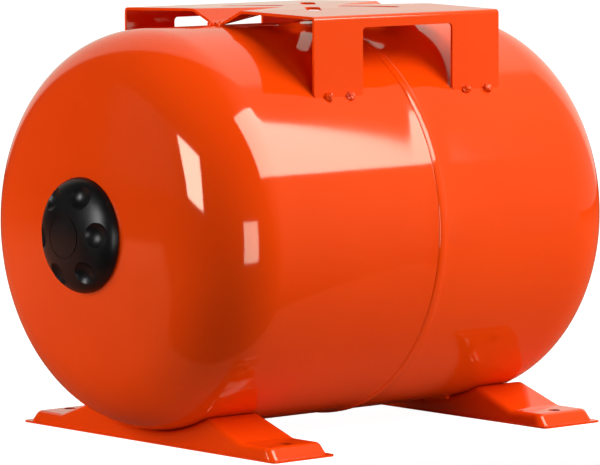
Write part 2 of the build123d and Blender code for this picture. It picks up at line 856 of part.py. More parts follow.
# Stub: G1 male, passed through the flange from behind, its pilot in the flange's hole, and welded
# round in the relief behind the thread
stub_face = flange_front + flange_dome_rise
stub_relief_radius = stub_radius - stub_relief_depth
thread_start = stub_face + stub_weld_leg + stub_relief_gap
with BuildPart() as inlet_stub:
    shoulder_face = flange_back + flange_dome_rise
    turn(
        (shoulder_face - stub_shoulder_thickness, stub_bore_radius),
        (stub_end, stub_bore_radius),
        (stub_end, stub_radius - stub_chamfer),
        (stub_end - stub_chamfer, stub_radius),
        (thread_start, stub_radius),
        (thread_start, stub_relief_radius),
        (stub_face, stub_relief_radius),
        (stub_face, stub_pilot_radius),
        (shoulder_face, stub_pilot_radius),
        (shoulder_face, stub_shoulder_radius),
        (shoulder_face - stub_shoulder_thickness, stub_shoulder_radius),
    )
inlet_stub.part.label = "inlet_stub"
export_step(inlet_stub.part, "parts/inlet_stub.step")

with BuildPart() as stub_weld:
    turn(
        (stub_face, stub_relief_radius),
        (stub_face + stub_weld_leg, stub_relief_radius),
        (stub_face, stub_pilot_radius + stub_weld_cover),
    )
stub_weld.part.label = "stub_weld"
export_step(stub_weld.part, "parts/stub_weld.step")

# Flange bolts: hexagon heads with a collar
with BuildPart() as flange_bolts:
    with BuildSketch(bolt_plane(flange_front)):
        with Locations(*bolt_spots):
            Circle(bolt_radius)
    extrude(amount=-bolt_grip)
    with BuildSketch(bolt_plane(flange_front)):
        with Locations(*bolt_spots):
            Circle(bolt_flange_radius)
    extrude(amount=bolt_flange_thickness)
    with BuildSketch(bolt_plane(flange_front + bolt_flange_thickness)):
        with Locations(*bolt_spots):
            RegularPolygon(bolt_head_across_flats / 2, 6, major_radius=False)
    extrude(amount=bolt_head_height - bolt_flange_thickness)
    head_faces = flange_bolts.faces().filter_by(Axis.X).group_by(Axis.X)[-1]
    fillet(head_faces.edges(), radius=bolt_head_round)
flange_bolts.part.label = "flange_bolts"
export_step(flange_bolts.part, "parts/flange_bolts.step")
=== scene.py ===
import json
import math

import bmesh
import bpy
from mathutils import Matrix, Vector, noise


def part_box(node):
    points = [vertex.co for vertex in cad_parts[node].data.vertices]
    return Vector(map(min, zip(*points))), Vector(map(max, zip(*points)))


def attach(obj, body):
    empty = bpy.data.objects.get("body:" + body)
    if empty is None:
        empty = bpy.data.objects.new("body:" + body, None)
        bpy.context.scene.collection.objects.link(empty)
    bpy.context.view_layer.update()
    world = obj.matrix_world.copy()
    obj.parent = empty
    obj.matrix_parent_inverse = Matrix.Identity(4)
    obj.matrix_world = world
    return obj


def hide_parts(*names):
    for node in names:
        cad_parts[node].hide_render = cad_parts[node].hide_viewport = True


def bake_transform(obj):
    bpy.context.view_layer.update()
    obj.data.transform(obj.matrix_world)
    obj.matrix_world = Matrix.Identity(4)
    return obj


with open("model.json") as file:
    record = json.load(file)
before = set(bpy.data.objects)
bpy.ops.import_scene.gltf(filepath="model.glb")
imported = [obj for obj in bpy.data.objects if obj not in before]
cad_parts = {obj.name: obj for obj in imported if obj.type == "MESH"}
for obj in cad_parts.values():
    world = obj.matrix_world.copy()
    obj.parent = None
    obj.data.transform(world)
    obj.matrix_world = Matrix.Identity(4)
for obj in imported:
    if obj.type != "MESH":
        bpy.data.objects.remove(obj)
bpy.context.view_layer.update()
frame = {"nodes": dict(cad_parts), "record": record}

bl_info = {
    "name": "Horizontal bladder tank",
    "version": (1, 0, 0),
    "blender": (4, 5, 0),
    "location": "View3D > Sidebar > Bladder tank",
    "description": "Dresses a horizontal bladder tank and sets it in a pale studio",
    "category": "Object",
}

MM = 0.001
TANK_BODY = "tank"

WHITE = (1.0, 1.0, 1.0, 1)

# Enamel: its refraction and the tint of its gloss
ENAMEL_IOR = 1.5
ENAMEL_GLOSS_TINT = (1.0, 0.93, 0.72, 1.0)

# Points along one face of a cup, and how much they crowd towards the weld
WALL_STEPS = 60
KNUCKLE_STEPS = 40
CROWN_STEPS = 28
WALL_CROWDING = 1.6

# Girth bead: points across, facets round, fullness of its crown, where its toe meets the risen
# rim, and how far its ripples are sunk
BEAD_STEPS = 16
BEAD_FACETS = 720
BEAD_FULLNESS = 0.75
TOE_SHARE = 0.6
RIPPLE_SINK = 0.6

# Tack welds: how many times finer the small lumps are
FINE_LUMPS = 2.1

# Stub: points along the thread, facets round, share of the pitch that is flat, and slack when
# the crest is picked
THREAD_STEPS = 118
STUB_FACETS = 96
THREAD_FLAT = 0.12
SLACK = 0.01 * MM

# Floor: two points of its front edge, its grey, and the warm tone that it has in the enamel
FLOOR_EDGE = ((-0.600, 0.153, 0.0), (0.230, -0.402, 0.0))
FLOOR_GREY = (0.5, 0.5, 0.5, 1)
FLOOR_IN_ENAMEL = (0.55, 0.19, 0.12, 1)

# Room: its tone, and each glow's direction, where it starts, where it is full and its strength
ROOM_TONE = (1.0, 0.96, 0.82, 1)
BACKDROP = ((0.604, 0.631, 0.487), 0.74, 0.80, 0.72)
WATER_END_WALL = ((0.90, -0.24, 0.36), 0.5, 0.9, 0.42)

# The point that the camera looks at
CAMERA_TARGET = Vector((-10.4 * MM, 0.0, 137.7 * MM))

# Name, azimuth and elevation from the tank, turn about its own middle, distance, size, radiance,
# whether it lights and whether it is mirrored. The fill lights softly from beside the left lamp.
SOFTBOXES = (
    ("softbox_left", -81.9, 17.8, -3.1, 1.274, 0.402, 0.489, 13.0, False, True),
    ("softbox_fill", -116.0, 17.0, 0.0, 1.600, 0.800, 0.800, 7.0, True, False),
    ("softbox_low", -14.2, -3.8, 1.6, 2.609, 0.883, 0.935, 6.0, True, True),
    ("softbox_key", 30.4, 43.5, -9.8, 1.950, 1.148, 1.209, 7.7, True, True),
)


def span(node):
    """Lowest and highest corner of a CAD node at rest, as vectors."""
    low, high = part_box(node)
    return Vector(low), Vector(high)


FRONT_LOW, FRONT_HIGH = span("front_shell")
REAR_HIGH = span("rear_shell")[1]
BEAD_LOW, BEAD_HIGH = span("girth_weld")
STUB_LOW, STUB_HIGH = span("inlet_stub")
FLANGE_HIGH = span("counter_flange")[1]
TACKS_LOW, TACKS_HIGH = span("bracket_welds")
AXIS_HEIGHT = (BEAD_HIGH.z + BEAD_LOW.z) / 2
TANK_RADIUS = FRONT_HIGH.z - AXIS_HEIGHT
AXIS_POINT = Vector((0.0, 0.0, AXIS_HEIGHT))


class PaintSettings(bpy.types.PropertyGroup):
    """Colour and surface of the enamel."""

    colour: bpy.props.FloatVectorProperty(
        name="Enamel", description="Colour of the enamel", subtype="COLOR", size=4,
        min=0.0, max=1.0, default=(0.86, 0.059, 0.0016, 1.0),
    )
    deep_colour: bpy.props.FloatVectorProperty(
        name="Thick enamel", description="Colour where the enamel lies thicker", subtype="COLOR",
        size=4, min=0.0, max=1.0, default=(0.82, 0.053, 0.0012, 1.0),
    )
    roughness: bpy.props.FloatProperty(
        name="Roughness", description="Roughness of the enamel", default=0.06, min=0.0, max=1.0,
    )
    peel_size: bpy.props.FloatProperty(
        name="Peel size", description="Size of the enamel's orange peel", default=3.0 * MM,
        unit="LENGTH",
    )
    peel_depth: bpy.props.FloatProperty(
        name="Peel depth", description="Strength of the orange peel", default=0.03, min=0.0,
    )
    roughness_drift: bpy.props.FloatProperty(
        name="Roughness drift", description="How much rougher the enamel gets in places",
        default=0.02, min=0.0,
    )
    drift_size: bpy.props.FloatProperty(
        name="Drift size", description="Size of the enamel's changes of tone", default=1.0 / 9.0,
        unit="LENGTH",
    )


class ShellSettings(bpy.types.PropertyGroup):
    """Sizes of the two drawn cups and the weld between them."""

    crown_radius: bpy.props.FloatProperty(
        name="Crown radius", description="Radius of the heads' crowns", default=500.0 * MM,
        unit="LENGTH",
    )
    knuckle_radius: bpy.props.FloatProperty(
        name="Knuckle radius", description="Radius between crown and wall", default=56.0 * MM,
        unit="LENGTH",
    )
    wall: bpy.props.FloatProperty(
        name="Wall", description="Thickness of the sheet", default=1.2 * MM, unit="LENGTH",
    )
    rim_rise: bpy.props.FloatProperty(
        name="Rim rise", description="How far the rims stand out at the weld", default=0.5 * MM,
        unit="LENGTH",
    )
    rim_reach: bpy.props.FloatProperty(
        name="Rim reach", description="How far from the weld the rims rise", default=9.0 * MM,
        unit="LENGTH",
    )
    valve_hole: bpy.props.FloatProperty(
        name="Valve hole", description="Radius of the hole in the front crown", default=10.0 * MM,
        unit="LENGTH",
    )
    neck_hole: bpy.props.FloatProperty(
        name="Neck hole", description="Radius of the hole in the rear crown", default=46.0 * MM,
        unit="LENGTH",
    )
    steps: bpy.props.IntProperty(
        name="Steps", description="Facets round the tank", default=288, min=32,
    )


class WeldSettings(bpy.types.PropertyGroup):
    """Shapes of the girth bead and of the tack welds."""

    bead_half_width: bpy.props.FloatProperty(
        name="Bead half width", description="Half the width of the girth bead",
        default=3.8 * MM, unit="LENGTH",
    )
    bead_root: bpy.props.FloatProperty(
        name="Bead root", description="How deep the bead sits in the joint", default=0.6 * MM,
        unit="LENGTH",
    )
    ripple_pitch: bpy.props.FloatProperty(
        name="Ripple pitch", description="Size of the bead's ripples", default=4.0 * MM,
        unit="LENGTH",
    )
    ripple: bpy.props.FloatProperty(
        name="Ripple", description="Depth of the bead's ripples", default=0.05 * MM,
        unit="LENGTH",
    )
    tack_radius: bpy.props.FloatProperty(
        name="Tack radius", description="Size of one tack weld", default=3.7 * MM, unit="LENGTH",
    )
    tack_inset: bpy.props.FloatProperty(
        name="Tack inset", description="From the tacks' reach to their middles",
        default=2.9 * MM, unit="LENGTH",
    )
    leg_inset: bpy.props.FloatProperty(
        name="Leg inset", description="From the dips' tacks to the middle of a leg",
        default=23.25 * MM, unit="LENGTH",
    )
    leg_pitch: bpy.props.FloatProperty(
        name="Leg tack pitch", description="Between the two tacks of a leg", default=20.0 * MM,
        unit="LENGTH",
    )
    dip_pitch: bpy.props.FloatProperty(
        name="Dip tack pitch", description="Between the two tacks of a dip", default=9.0 * MM,
        unit="LENGTH",
    )
    lump: bpy.props.FloatProperty(
        name="Lump", description="Unevenness of a tack weld", default=0.9 * MM, unit="LENGTH",
    )
    lump_size: bpy.props.FloatProperty(
        name="Lump size", description="Size of the lumps on a tack weld", default=2.6 * MM,
        unit="LENGTH",
    )


class StubSettings(bpy.types.PropertyGroup):
    """Sizes of the threaded water stub."""

    bore: bpy.props.FloatProperty(
        name="Bore", description="Radius of the bore", default=13.5 * MM, unit="LENGTH",
    )
    shoulder: bpy.props.FloatProperty(
        name="Shoulder", description="Thickness of the shoulder behind the flange",
        default=2.5 * MM, unit="LENGTH",
    )
    pilot: bpy.props.FloatProperty(
        name="Pilot", description="Radius of the pilot in the flange", default=17.2 * MM,
        unit="LENGTH",
    )
    relief: bpy.props.FloatProperty(
        name="Relief", description="Radius of the relief under the weld", default=15.9 * MM,
        unit="LENGTH",
    )
    relief_length: bpy.props.FloatProperty(
        name="Relief length", description="From the flange's face to the thread",
        default=2.8 * MM, unit="LENGTH",
    )
    crest: bpy.props.FloatProperty(
        name="Crest", description="Radius over the thread", default=16.6 * MM, unit="LENGTH",
    )
    thread_depth: bpy.props.FloatProperty(
        name="Thread depth", description="Depth of the thread", default=1.4 * MM, unit="LENGTH",
    )
    thread_pitch: bpy.props.FloatProperty(
        name="Thread pitch", description="Pitch of the thread", default=2.309 * MM, unit="LENGTH",
    )
    chamfer: bpy.props.FloatProperty(
        name="Chamfer", description="Chamfer at the end", default=1.5 * MM, unit="LENGTH",
    )


class SpringSettings(bpy.types.PropertyGroup):
    """Sizes of the valve's spring."""

    wire: bpy.props.FloatProperty(
        name="Wire", description="Radius of the wire", default=0.16 * MM, unit="LENGTH",
    )
    turns: bpy.props.FloatProperty(name="Turns", description="Turns of the spring", default=4.0)
    steps: bpy.props.IntProperty(
        name="Steps", description="Facets along the wire", default=160, min=16,
    )


class StageSettings(bpy.types.PropertyGroup):
    """Camera and lights."""

    yaw: bpy.props.FloatProperty(
        name="Yaw", description="Turn of the camera about the upright", subtype="ANGLE",
        default=math.radians(40.7),
    )
    pitch: bpy.props.FloatProperty(
        name="Pitch", description="How far the camera looks down", subtype="ANGLE",
        default=math.radians(5.5),
    )
    roll: bpy.props.FloatProperty(
        name="Roll", description="Tilt of the camera", subtype="ANGLE", default=math.radians(-0.17),
    )
    distance: bpy.props.FloatProperty(
        name="Distance", description="Camera to target", default=3.2, unit="LENGTH",
    )
    lens: bpy.props.FloatProperty(
        name="Lens", description="Focal length in millimetres", default=268.3, min=1.0,
    )
    room: bpy.props.FloatProperty(
        name="Room", description="Brightness of the unlit room", default=0.04, min=0.0,
    )
    floor_size: bpy.props.FloatProperty(
        name="Floor size", description="Reach of the pale floor", default=4.0, unit="LENGTH",
    )
    floor_lift: bpy.props.FloatProperty(
        name="Floor lift", description="Whiteness the floor shows to the camera", default=0.97,
        min=0.0,
    )


# Materials -----------------------------------------------------------------------------------


def socket(group, name, kind, way, default=None):
    """Add one named socket to a node group."""
    new = group.interface.new_socket(name=name, in_out=way, socket_type=kind)
    if default is not None:
        new.default_value = default
    return new


def surface_grain_group():
    """Fine relief and a slow mottling that several finishes share."""
    group = bpy.data.node_groups.new("surface_grain", "ShaderNodeTree")
    socket(group, "Fine Scale", "NodeSocketFloat", "INPUT", 300.0)
    socket(group, "Fine Depth", "NodeSocketFloat", "INPUT", 0.05)
    socket(group, "Slow Scale", "NodeSocketFloat", "INPUT", 12.0)
    socket(group, "Normal", "NodeSocketVector", "OUTPUT")
    socket(group, "Mottle", "NodeSocketFloat", "OUTPUT")
    nodes, links = group.nodes, group.links
    given = nodes.new("NodeGroupInput")
    result = nodes.new("NodeGroupOutput")
    place = nodes.new("ShaderNodeTexCoord")
    fine = nodes.new("ShaderNodeTexNoise")
    fine.inputs["Detail"].default_value = 2.0
    slow = nodes.new("ShaderNodeTexNoise")
    slow.inputs["Detail"].default_value = 3.0
    bump = nodes.new("ShaderNodeBump")
    bump.inputs["Distance"].default_value = 0.2 * MM
    links.new(place.outputs["Object"], fine.inputs["Vector"])
    links.new(place.outputs["Object"], slow.inputs["Vector"])
    links.new(given.outputs["Fine Scale"], fine.inputs["Scale"])
    links.new(given.outputs["Slow Scale"], slow.inputs["Scale"])
    links.new(given.outputs["Fine Depth"], bump.inputs["Strength"])
    links.new(fine.outputs["Fac"], bump.inputs["Height"])
    links.new(bump.outputs["Normal"], result.inputs["Normal"])
    links.new(slow.outputs["Fac"], result.inputs["Mottle"])
    return group


def new_material(name):
    """A material with an empty Principled shader and the shared grain placed in it."""
    material = bpy.data.materials.new(name)
    material.use_nodes = True
    nodes = material.node_tree.nodes
    shader = nodes["Principled BSDF"]
    grain = nodes.new("ShaderNodeGroup")
    grain.node_tree = bpy.data.node_groups["surface_grain"]
    material.node_tree.links.new(grain.outputs["Normal"], shader.inputs["Normal"])
    return material, shader, grain


def mottled_colour(material, shader, grain, light, dark, low=0.35, high=0.65):
    """Colour that drifts between two tones with the slow mottling."""
    nodes, links = material.node_tree.nodes, material.node_tree.links
    ramp = nodes.new("ShaderNodeValToRGB")
    ramp.color_ramp.elements[0].position = low
    ramp.color_ramp.elements[0].color = dark
    ramp.color_ramp.elements[1].position = high
    ramp.color_ramp.elements[1].color = light
    links.new(grain.outputs["Mottle"], ramp.inputs["Fac"])
    links.new(ramp.outputs["Color"], shader.inputs["Base Color"])


def mottled_roughness(material, shader, grain, low, high):
    """Roughness that drifts between two values with the slow mottling."""
    nodes, links = material.node_tree.nodes, material.node_tree.links
    spread = nodes.new("ShaderNodeMapRange")
    spread.inputs["From Min"].default_value = 0.3
    spread.inputs["From Max"].default_value = 0.7
    spread.inputs["To Min"].default_value = low
    spread.inputs["To Max"].default_value = high
    links.new(grain.outputs["Mottle"], spread.inputs["Value"])
    links.new(spread.outputs["Result"], shader.inputs["Roughness"])


def enamel_material():
    """Glossy orange enamel, sprayed: a clear top, faint peel and a faint change of tone."""
    paint = bpy.context.scene.tank_paint
    material, shader, grain = new_material("orange_enamel")
    grain.inputs["Fine Scale"].default_value = 1.0 / paint.peel_size
    grain.inputs["Fine Depth"].default_value = paint.peel_depth
    grain.inputs["Slow Scale"].default_value = 1.0 / paint.drift_size
    mottled_colour(material, shader, grain, paint.colour, paint.deep_colour)
    rougher = paint.roughness + paint.roughness_drift
    mottled_roughness(material, shader, grain, paint.roughness, rougher)
    shader.inputs["IOR"].default_value = ENAMEL_IOR
    shader.inputs["Specular Tint"].default_value = ENAMEL_GLOSS_TINT
    return material


# Name: fine scale and depth, slow scale, light and dark tone, lowest and highest roughness,
# metallic, IOR
FINISHES = {
    # Satin black plastic with a fine spark texture
    "black_moulded_plastic": (
        1400.0, 0.12, 60.0, (0.0065, 0.0065, 0.007, 1), (0.0045, 0.0045, 0.005, 1),
        0.30, 0.38, 0.0, 1.34,
    ),
    # Zinc plating with a faint drift of tone
    "bright_zinc": (
        900.0, 0.1, 45.0, (0.78, 0.79, 0.80, 1), (0.62, 0.62, 0.58, 1), 0.22, 0.38, 1.0, 1.5,
    ),
    "turned_brass": (
        2500.0, 0.15, 200.0, (0.80, 0.60, 0.26, 1), (0.66, 0.46, 0.18, 1), 0.2, 0.35, 1.0, 1.5,
    ),
    "butyl_rubber": (
        1200.0, 0.3, 30.0, (0.035, 0.035, 0.036, 1), (0.02, 0.02, 0.021, 1), 0.6, 0.75, 0.0, 1.5,
    ),
    "natural_nylon": (
        2000.0, 0.1, 300.0, (0.80, 0.78, 0.70, 1), (0.70, 0.68, 0.60, 1), 0.4, 0.5, 0.0, 1.5,
    ),
}


def plain_finish(name):
    """One of the finishes in the table."""
    fine, depth, slow, light, dark, smooth, rough, metallic, refraction = FINISHES[name]
    material, shader, grain = new_material(name)
    grain.inputs["Fine Scale"].default_value = fine
    grain.inputs["Fine Depth"].default_value = depth
    grain.inputs["Slow Scale"].default_value = slow
    mottled_colour(material, shader, grain, light, dark)
    mottled_roughness(material, shader, grain, smooth, rough)
    shader.inputs["Metallic"].default_value = metallic
    shader.inputs["IOR"].default_value = refraction
    return material


MATERIAL_OF_SLOT = {
    "orange_paint": "orange_enamel",
    "black_plastic": "black_moulded_plastic",
    "zinc_steel": "bright_zinc",
    "brass": "turned_brass",
    "black_rubber": "butyl_rubber",
    "nylon_white": "natural_nylon",
    "spring_steel": "bright_zinc",
}


# Mesh helpers --------------------------------------------------------------------------------


def finish_piece(mesh_data, name, slot, node, body=TANK_BODY):
    """Turn a bmesh into a dressed object that stands for a CAD node. With a body, it rides on it."""
    mesh = bpy.data.meshes.new(name)
    mesh_data.normal_update()
    mesh_data.to_mesh(mesh)
    mesh_data.free()
    mesh.shade_smooth()
    piece = bpy.data.objects.new(name, mesh)
    bpy.context.scene.collection.objects.link(piece)
    mesh.materials.append(bpy.data.materials[MATERIAL_OF_SLOT[slot]])
    if body:
        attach(piece, body)
    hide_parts(node)
    return piece


def spin_section(points, steps):
    """Turn a closed section, given as (x, distance from the tank axis), into a closed ring."""
    bm = bmesh.new()
    ring = [bm.verts.new((x, 0.0, AXIS_HEIGHT + radius)) for x, radius in points]
    edges = [bm.edges.new((ring[n], ring[(n + 1) % len(ring)])) for n in range(len(ring))]
    bmesh.ops.spin(
        bm, geom=ring + edges, cent=AXIS_POINT, axis=(1, 0, 0), dvec=(0, 0, 0),
        angle=math.tau, steps=steps, use_merge=True,
    )
    bmesh.ops.remove_doubles(bm, verts=bm.verts, dist=0.001 * MM)
    bmesh.ops.recalc_face_normals(bm, faces=bm.faces)
    return bm


def mark_sharp(piece, angle):
    """Keep edges crisp where the faces meet at more than an angle."""
    mesh = piece.data
    bm = bmesh.new()
    bm.from_mesh(mesh)
    for edge in bm.edges:
        if len(edge.link_faces) == 2:
            edge.smooth = edge.calc_face_angle() < angle
    bm.to_mesh(mesh)
    bm.free()


def cup_section(side, apex_x, hole_radius, inset):
    """Points along one face of a cup, from its rim at the weld to the hole in its crown."""
    shell = bpy.context.scene.tank_shell
    radius = TANK_RADIUS - inset
    crown = shell.crown_radius - inset
    knuckle = shell.knuckle_radius - inset
    depth = crown - math.sqrt((crown - knuckle) ** 2 - (radius - knuckle) ** 2)
    straight = abs(apex_x) - depth
    knuckle_angle = math.atan2(radius - knuckle, crown - depth)
    points = []
    for n in range(WALL_STEPS):
        x = straight * (n / WALL_STEPS) ** WALL_CROWDING
        rise = shell.rim_rise * math.exp(-((x / shell.rim_reach) ** 2))
        points.append((side * x, radius + rise))
    for n in range(KNUCKLE_STEPS):
        angle = math.pi / 2 + (knuckle_angle - math.pi / 2) * n / KNUCKLE_STEPS
        along = straight + knuckle * math.cos(angle)
        points.append((side * along, radius - knuckle + knuckle * math.sin(angle)))
    hole_angle = math.asin(hole_radius / crown)
    for n in range(CROWN_STEPS + 1):
        angle = knuckle_angle + (hole_angle - knuckle_angle) * n / CROWN_STEPS
        along = straight + depth - crown + crown * math.cos(angle)
        points.append((side * along, crown * math.sin(angle)))
    return points


def crown_fall(radius):
    """How far the crown has fallen back at a distance from the axis."""
    crown = bpy.context.scene.tank_shell.crown_radius
    return crown - math.sqrt(crown**2 - radius**2)


def make_cup(name, side, apex_x, hole_radius):
    """One drawn cup, with its wall, turned from its section."""
    shell = bpy.context.scene.tank_shell
    outer = cup_section(side, apex_x, hole_radius, 0.0)
    inner = cup_section(side, apex_x - side * shell.wall, hole_radius, shell.wall)
    bm = spin_section(outer + inner[::-1], shell.steps)
    piece = finish_piece(bm, name + "_skin", "orange_paint", name)
    mark_sharp(piece, math.radians(40))
    return piece


def axis_place(point):
    """Distance of a point from the tank's axis and its angle about it."""
    return math.hypot(point.y, point.z - AXIS_HEIGHT), math.atan2(point.y, point.z - AXIS_HEIGHT)


def set_radius(vert, radius, angle):
    """Move a vertex to a distance from the tank's axis."""
    vert.co.y = radius * math.sin(angle)
    vert.co.z = AXIS_HEIGHT + radius * math.cos(angle)


def make_bead():
    """Low rounded girth bead with faint ripples."""
    weld = bpy.context.scene.tank_weld
    half = weld.bead_half_width
    base = TANK_RADIUS - weld.bead_root
    top = BEAD_HIGH.z - AXIS_HEIGHT
    toe = TANK_RADIUS + bpy.context.scene.tank_shell.rim_rise * TOE_SHARE
    points = [(-half, base)]
    for n in range(BEAD_STEPS + 1):
        sweep = math.pi * n / BEAD_STEPS
        height = (top - toe) * math.sin(sweep) ** BEAD_FULLNESS
        points.append((-half * math.cos(sweep), toe + height))
    points.append((half, base))
    bm = spin_section(points, BEAD_FACETS)
    for vert in bm.verts:
        radius, angle = axis_place(vert.co)
        if radius > toe:
            wave = noise.noise(vert.co / weld.ripple_pitch) - RIPPLE_SINK
            set_radius(vert, radius + weld.ripple * wave, angle)
    finish_piece(bm, "girth_bead", "orange_paint", "girth_weld")


def add_tack(bm, centre):
    """One lumpy blob of weld metal."""
    weld = bpy.context.scene.tank_weld
    place = Matrix.Translation(centre)
    made = bmesh.ops.create_icosphere(bm, subdivisions=5, radius=weld.tack_radius, matrix=place)
    for vert in made["verts"]:
        outward = (vert.co - centre).normalized()
        broad = noise.noise(vert.co / weld.lump_size)
        fine = noise.noise(vert.co * FINE_LUMPS / weld.lump_size)
        vert.co += outward * weld.lump * (broad + 0.5 * fine - 0.5)


def make_tacks():
    """Tack welds at the bracket's legs and dips."""
    weld = bpy.context.scene.tank_weld
    dip_x = TACKS_HIGH.x - weld.tack_inset
    leg_y = TACKS_HIGH.y - weld.tack_inset
    bm = bmesh.new()
    for end in (-1, 1):
        for side in (-1, 1):
            top = TACKS_HIGH.z - weld.tack_inset
            add_tack(bm, Vector((end * dip_x, side * weld.dip_pitch / 2, top)))
            for shift in (-0.5, 0.5):
                x = end * (dip_x - weld.leg_inset) + shift * weld.leg_pitch
                add_tack(bm, Vector((x, side * leg_y, TACKS_LOW.z + weld.tack_inset)))
    finish_piece(bm, "tack_beads", "orange_paint", "bracket_welds")


def make_stub():
    """Water stub with its pipe thread cut as a helix."""
    stub = bpy.context.scene.tank_stub
    face = FLANGE_HIGH.x
    start = face + stub.relief_length
    end = STUB_HIGH.x - stub.chamfer
    inside = [(STUB_LOW.x, stub.bore), (STUB_LOW.x, STUB_HIGH.z - AXIS_HEIGHT)]
    inside.append((STUB_LOW.x + stub.shoulder, STUB_HIGH.z - AXIS_HEIGHT))
    inside += [(STUB_LOW.x + stub.shoulder, stub.pilot), (face, stub.pilot)]
    inside += [(face, stub.relief), (start, stub.relief)]
    thread = [
        (start + (end - start) * n / THREAD_STEPS, stub.crest) for n in range(THREAD_STEPS + 1)
    ]
    outside = [(STUB_HIGH.x, stub.crest - stub.chamfer), (STUB_HIGH.x, stub.bore)]
    bm = spin_section(inside + thread + outside, STUB_FACETS)
    for vert in bm.verts:
        radius, angle = axis_place(vert.co)
        on_crest = radius > stub.crest - SLACK
        if on_crest and start - SLACK < vert.co.x < end + SLACK:
            turn = (vert.co.x - start) / stub.thread_pitch - angle / math.tau
            ridge = 1 - abs(2 * (turn % 1.0) - 1)
            cut = 1 - min(max((ridge - THREAD_FLAT) / (1 - 2 * THREAD_FLAT), 0.0), 1.0)
            fade = min((vert.co.x - start) / stub.thread_pitch, 1.0)
            set_radius(vert, radius - stub.thread_depth * cut * fade, angle)
    piece = finish_piece(bm, "threaded_stub", "zinc_steel", "inlet_stub")
    mark_sharp(piece, math.radians(30))


def make_spring():
    """Valve spring, coiled along the length of the CAD spring."""
    spring = bpy.context.scene.tank_spring
    low, high = span("valve_spring")
    coil = (high.z - low.z) / 2 - spring.wire
    start = Vector((high.x - spring.wire, 0.0, AXIS_HEIGHT))
    travel = low.x - high.x + 2 * spring.wire
    steps = spring.steps
    bm = bmesh.new()
    upright = Matrix.Translation(start + Vector((0.0, coil, 0.0)))
    bmesh.ops.create_circle(
        bm, cap_ends=True, segments=12, radius=spring.wire, matrix=upright,
    )
    bmesh.ops.spin(
        bm, geom=bm.verts[:] + bm.edges[:] + bm.faces[:], cent=start, axis=(1, 0, 0),
        dvec=(travel / steps, 0.0, 0.0), angle=spring.turns * math.tau, steps=steps,
    )
    bmesh.ops.recalc_face_normals(bm, faces=bm.faces)
    piece = finish_piece(bm, "coiled_spring", "spring_steel", "valve_spring", body=None)
    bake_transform(piece)


# Stage ---------------------------------------------------------------------------------------


def blend_nodes(nodes, links, kind, first, second, chooser):
    """Mix two shaders by one output of the Light Path node and return the mixed output."""
    mix = nodes.new("ShaderNodeMixShader")
    links.new(kind.outputs[chooser], mix.inputs["Fac"])
    links.new(first, mix.inputs[1])
    links.new(second, mix.inputs[2])
    return mix.outputs["Shader"]


def matt_shader(nodes, colour):
    """Plain matt colour."""
    matt = nodes.new("ShaderNodeBsdfDiffuse")
    matt.inputs["Color"].default_value = colour
    return matt.outputs["BSDF"]


def make_floor(stage):
    """Pale sheet under the tank. It shows white to the camera and keeps a soft shadow."""
    front = Vector(FLOOR_EDGE[0])
    along = (Vector(FLOOR_EDGE[1]) - front).normalized()
    inward = Vector((-along.y, along.x, 0.0))
    reach = stage.floor_size
    bm = bmesh.new()
    corners = [
        front - along * reach,
        front + along * reach,
        front + along * reach + inward * 2 * reach,
        front - along * reach + inward * 2 * reach,
    ]
    bm.faces.new([bm.verts.new(corner) for corner in corners])
    mesh = bpy.data.meshes.new("floor")
    bm.to_mesh(mesh)
    bm.free()
    floor = bpy.data.objects.new("floor", mesh)
    bpy.context.scene.collection.objects.link(floor)
    material = bpy.data.materials.new("pale_floor")
    material.use_nodes = True
    nodes, links = material.node_tree.nodes, material.node_tree.links
    nodes.clear()
    path = nodes.new("ShaderNodeLightPath")
    white = nodes.new("ShaderNodeEmission")
    white.inputs["Strength"].default_value = stage.floor_lift
    seen = nodes.new("ShaderNodeAddShader")
    links.new(matt_shader(nodes, FLOOR_GREY), seen.inputs[0])
    links.new(white.outputs["Emission"], seen.inputs[1])
    spread = matt_shader(nodes, FLOOR_GREY)
    mirrored = matt_shader(nodes, FLOOR_IN_ENAMEL)
    unseen = blend_nodes(nodes, links, path, spread, mirrored, "Is Glossy Ray")
    out = nodes.new("ShaderNodeOutputMaterial")
    shown = blend_nodes(nodes, links, path, unseen, seen.outputs["Shader"], "Is Camera Ray")
    links.new(shown, out.inputs["Surface"])
    mesh.materials.append(material)


def direction_glow(nodes, links, place, direction, first, last, strength):
    """Brightness that rises toward one direction of the room."""
    toward = nodes.new("ShaderNodeVectorMath")
    toward.operation = "DOT_PRODUCT"
    toward.inputs[1].default_value = direction
    rise = nodes.new("ShaderNodeMapRange")
    rise.interpolation_type = "SMOOTHSTEP"
    rise.inputs["From Min"].default_value = first
    rise.inputs["From Max"].default_value = last
    rise.inputs["To Max"].default_value = strength
    links.new(place.outputs["Generated"], toward.inputs[0])
    links.new(toward.outputs["Value"], rise.inputs["Value"])
    return rise.outputs["Result"]


def background(nodes, colour, strength):
    """Background shader of a colour and a strength."""
    glow = nodes.new("ShaderNodeBackground")
    glow.inputs["Color"].default_value = colour
    glow.inputs["Strength"].default_value = strength
    return glow


def sum_node(nodes, links, first):
    """Addition node with its first value linked."""
    total = nodes.new("ShaderNodeMath")
    links.new(first, total.inputs[0])
    return total


